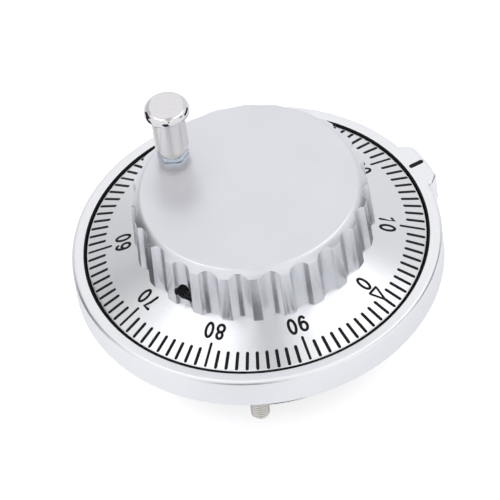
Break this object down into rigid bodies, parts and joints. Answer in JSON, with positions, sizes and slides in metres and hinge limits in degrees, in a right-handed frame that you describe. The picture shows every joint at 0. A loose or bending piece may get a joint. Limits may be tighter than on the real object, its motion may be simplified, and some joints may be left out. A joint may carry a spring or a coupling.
{
  "type": "pulse generator handwheel",
  "caption": "Round panel-mounted handwheel encoder: conical graduated dial, fluted knob and spinning crank handle on a flanged bezel with studs behind.",
  "frame": {"origin": "centre of the mounting face, on the shaft's axis", "axes": "+Z along the shaft towards the user, +Y to the index tab, +X to the right"},
  "size_m": [0.08, 0.0823, 0.0591],
  "materials": {
    "satin_chrome": "die-cast zinc, satin chrome plated",
    "machined_aluminium": "turned aluminium, clear anodised",
    "polished_chrome": "polished chrome plate on steel",
    "zinc_plated_steel": "bright zinc plate",
    "black_steel": "black oxide",
    "ground_steel": "ground",
    "soft_iron": "milled",
    "ferrite": "sintered",
    "black_plastic": "moulded, fine texture",
    "brass": "nickel-free brass, turned",
    "circuit_board": "green solder mask",
    "clear_epoxy": "cast, water clear",
    "dark_epoxy": "cast, infrared filter",
    "ceramic": "sintered"
  },
  "bodies": {
    "stator": {"bezel_flange": "satin_chrome", "mounting_studs": "zinc_plated_steel", "rear_housing": "black_plastic", "rear_cover": "black_plastic", "cover_screws": "black_steel", "bearing_outer_rings": "ground_steel", "bearing_shields": "ground_steel", "hub_circlip": "black_steel", "detent_magnets": "ferrite", "detent_pole_shoes": "soft_iron", "circuit_board": "circuit_board", "board_screws": "zinc_plated_steel", "sensor_module": "black_plastic", "light_emitter": "clear_epoxy", "photo_detector": "dark_epoxy", "line_driver_chip": "black_plastic", "board_capacitors": "ceramic", "terminal_block": "black_plastic", "terminal_clamps": "brass", "terminal_screws": "zinc_plated_steel", "terminal_pins": "brass"},
    "cages": {"bearing_balls": "ground_steel", "bearing_cages": "brass"},
    "wheel": {"knob": "machined_aluminium", "dial": "machined_aluminium", "dial_screws": "black_steel", "set_screw": "black_steel", "shaft": "ground_steel", "bearing_inner_rings": "ground_steel", "bearing_spacer": "brass", "shim_washer": "ground_steel", "shaft_circlip": "black_steel", "detent_wheel": "soft_iron", "code_disc": "dark_epoxy", "code_disc_hub": "brass", "disc_clamp_plate": "ground_steel", "disc_clamp_screw": "black_steel", "handle_spindle": "ground_steel", "handle_nut": "zinc_plated_steel", "handle_washer": "zinc_plated_steel"},
    "grip": {"grip_sleeve": "polished_chrome", "grip_cap": "polished_chrome"}
  },
  "joints": [
    {"name": "wheel_spin", "type": "hinge", "parent": "stator", "child": "wheel", "pos_m": [0, 0, 0.01], "axis": [0, 0, 1], "continuous": true},
    {"name": "cage_spin", "type": "hinge", "parent": "stator", "child": "cages", "pos_m": [0, 0, 0.004], "axis": [0, 0, 1], "continuous": true},
    {"name": "grip_spin", "type": "hinge", "parent": "wheel", "child": "grip", "pos_m": [-0.01783, -0.00862, 0.03], "axis": [0, 0, 1], "continuous": true}
  ],
  "couplings": [
    {"joint": "cage_spin", "follows": "wheel_spin", "ratio": 0.4158}
  ]
}
